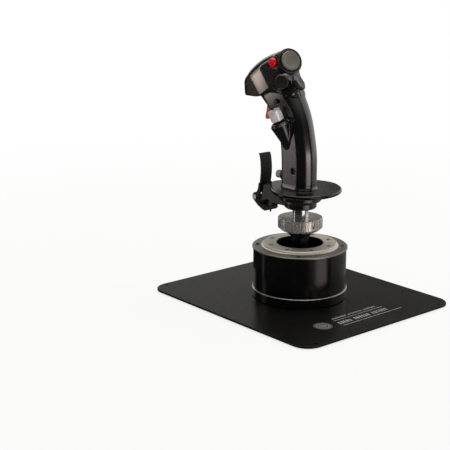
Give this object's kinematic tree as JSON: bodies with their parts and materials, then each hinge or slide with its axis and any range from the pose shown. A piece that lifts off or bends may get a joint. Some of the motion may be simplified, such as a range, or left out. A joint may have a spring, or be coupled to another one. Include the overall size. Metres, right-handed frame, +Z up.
{
  "type": "flight joystick",
  "caption": "Desk flight joystick: pilot grip with hats, trigger and paddle on a two-axis gimbal in a round can, bolted to a rectangular base plate, with a coiled cable.",
  "frame": {"origin": "centre of the underside of the base pad, under the stick's axis", "axes": "+Z up along the stick at rest, +Y forward away from the pilot, +X to the pilot's right"},
  "size_m": [0.254, 0.292, 0.3133],
  "materials": {
    "adapter": "blackened",
    "base_pad": "matte",
    "base_plate": "fine matte powder coat",
    "board": "solder mask",
    "bush": "machined",
    "cable": "matte jacket",
    "gimbal_black": "gloss black nylon",
    "grey_button": "grey",
    "grip_black": "satin black over cast metal",
    "hat_black": "satin black",
    "lower_can": "satin",
    "magnet": "nickel plate",
    "main_can": "semi-gloss black",
    "neck": "polished",
    "nut": "bead blasted and fluted",
    "opening_liner": "matte black",
    "opening_ring": "turned, clear coated",
    "plug": "moulded",
    "red": "gloss red",
    "rest_black": "satin black",
    "screws": "blackened steel",
    "shaft": "ground",
    "silver": "satin, knurled",
    "spring": "drawn wire",
    "standoff": "turned",
    "switch": "moulded",
    "top_flange": "satin grey",
    "trim_band": "turned, satin",
    "trim_cap": "olive grey satin",
    "washer": "nylon"
  },
  "bodies": {
    "base": {"base_pad": "base_pad", "base_plate": "base_plate", "plate_screws": "screws", "lower_can": "lower_can", "trim_band": "trim_band", "main_can": "main_can", "top_flange": "top_flange", "opening_ring": "opening_ring", "opening_liner": "opening_liner", "ring_screws": "screws", "flange_screws": "screws", "standoff_posts": "standoff", "gimbal_housing": "adapter", "roll_bushes": "bush", "roll_springs": "spring", "sensor_board": "board", "main_board": "board", "cable_gland": "cable", "usb_cable": "cable", "usb_plug": "plug"},
    "gimbal": {"gimbal_ring": "gimbal_black", "roll_shafts": "shaft", "pitch_bushes": "bush", "pitch_springs": "spring"},
    "stick": {"gimbal_ball": "gimbal_black", "pitch_shafts": "shaft", "sensor_magnet": "magnet", "stick_adapter": "adapter", "grip_neck": "neck", "grip_collar": "grip_black", "paddle_arm": "rest_black", "collar_screws": "screws", "hand_rest": "rest_black", "grip_shell_left": "grip_black", "grip_shell_right": "grip_black", "grip_screws": "screws", "trim_bezel": "grip_black", "hat_switches": "switch", "micro_switches": "switch", "trigger_pin": "shaft", "paddle_pin": "shaft", "lever_springs": "spring", "grip_board": "board", "grip_lead": "cable"},
    "nut_lift": {"nut_washer": "washer"},
    "nut": {"lock_nut": "nut"},
    "trigger": {"trigger": "red"},
    "paddle": {"paddle": "hat_black"},
    "pinky_button": {"pinky_button": "grey_button"},
    "release_button": {"release_button": "red"},
    "master_button": {"master_button": "hat_black"},
    "trim_spider": {"trim_spider": "switch"},
    "trim_hat": {"trim_hat": "trim_cap"},
    "tms_spider": {"tms_spider": "switch"},
    "tms_hat": {"tms_hat": "hat_black"},
    "dms_spider": {"dms_spider": "switch"},
    "dms_hat": {"dms_hat": "hat_black"},
    "cms_spider": {"cms_spider": "switch"},
    "cms_stem": {"cms_stem": "switch"},
    "cms_hat": {"cms_hat": "silver"}
  },
  "joints": [
    {"name": "roll", "type": "hinge", "parent": "base", "child": "gimbal", "pos_m": [0, 0, 0.038], "axis": [0, 1, 0], "range_deg": [-17, 17], "stiffness_Nm_per_rad": 2.5},
    {"name": "pitch", "type": "hinge", "parent": "gimbal", "child": "stick", "pos_m": [0, 0, 0.038], "axis": [1, 0, 0], "range_deg": [-17, 17], "stiffness_Nm_per_rad": 2.5},
    {"name": "nut_travel", "type": "slide", "parent": "stick", "child": "nut_lift", "axis": [0, 0, 1], "range_m": [0, 0.01]},
    {"name": "nut_turn", "type": "hinge", "parent": "nut_lift", "child": "nut", "pos_m": [0, 0, 0.098], "axis": [0, 0, 1], "range_deg": [0, 1800]},
    {"name": "trigger_pull", "type": "hinge", "parent": "stick", "child": "trigger", "pos_m": [0, 0.0495, 0.246], "axis": [-1, 0, 0], "range_deg": [0, 11], "stiffness_Nm_per_rad": 0.3},
    {"name": "paddle_squeeze", "type": "hinge", "parent": "stick", "child": "paddle", "pos_m": [0, 0.074, 0.1195], "axis": [1, 0, 0], "range_deg": [0, 9], "stiffness_Nm_per_rad": 0.6},
    {"name": "pinky_press", "type": "slide", "parent": "stick", "child": "pinky_button", "axis": [0.2501, -0.9682, 0], "range_m": [0, 0.0018], "stiffness_N_per_m": 900},
    {"name": "release_press", "type": "slide", "parent": "stick", "child": "release_button", "axis": [0.751, 0.5007, -0.4306], "range_m": [0, 0.002], "stiffness_N_per_m": 900},
    {"name": "master_press", "type": "slide", "parent": "stick", "child": "master_button", "axis": [1, 0, 0], "range_m": [0, 0.001], "stiffness_N_per_m": 900},
    {"name": "trim_updown", "type": "hinge", "parent": "stick", "child": "trim_spider", "pos_m": [-0.00041, 0.02501, 0.2967], "axis": [0.9671, -0.2542, 0], "range_deg": [-6, 6], "stiffness_Nm_per_rad": 0.05},
    {"name": "trim_leftright", "type": "hinge", "parent": "trim_spider", "child": "trim_hat", "pos_m": [-0.00041, 0.02501, 0.2967], "axis": [0.0962, 0.3661, 0.9256], "range_deg": [-6, 6], "stiffness_Nm_per_rad": 0.05},
    {"name": "tms_updown", "type": "hinge", "parent": "stick", "child": "tms_spider", "pos_m": [-0.00614, 0.00635, 0.27102], "axis": [0.9153, 0.4027, 0], "range_deg": [-7, 7], "stiffness_Nm_per_rad": 0.05},
    {"name": "tms_leftright", "type": "hinge", "parent": "tms_spider", "child": "tms_hat", "pos_m": [-0.00614, 0.00635, 0.27102], "axis": [-0.2308, 0.5245, 0.8195], "range_deg": [-7, 7], "stiffness_Nm_per_rad": 0.05},
    {"name": "dms_updown", "type": "hinge", "parent": "stick", "child": "dms_spider", "pos_m": [-0.01536, 0.0176, 0.2743], "axis": [0.4553, -0.8903, 0], "range_deg": [-7, 7], "stiffness_Nm_per_rad": 0.05},
    {"name": "dms_leftright", "type": "hinge", "parent": "dms_spider", "child": "dms_hat", "pos_m": [-0.01536, 0.0176, 0.2743], "axis": [0.1336, 0.0683, 0.9887], "range_deg": [-7, 7], "stiffness_Nm_per_rad": 0.05},
    {"name": "cms_updown", "type": "hinge", "parent": "stick", "child": "cms_spider", "pos_m": [-0.02166, 0.01711, 0.22381], "axis": [-0.5103, -0.86, 0], "range_deg": [-7, 7], "stiffness_Nm_per_rad": 0.05},
    {"name": "cms_leftright", "type": "hinge", "parent": "cms_spider", "child": "cms_stem", "pos_m": [-0.02166, 0.01711, 0.22381], "axis": [0.7815, -0.4637, 0.4173], "range_deg": [-7, 7], "stiffness_Nm_per_rad": 0.05},
    {"name": "cms_press", "type": "slide", "parent": "cms_stem", "child": "cms_hat", "axis": [0.3589, -0.2129, -0.9088], "range_m": [0, 0.0014], "stiffness_N_per_m": 900}
  ],
  "couplings": [
    {"joint": "nut_travel", "follows": "nut_turn", "m_per_rad": 0.00031831}
  ]
}
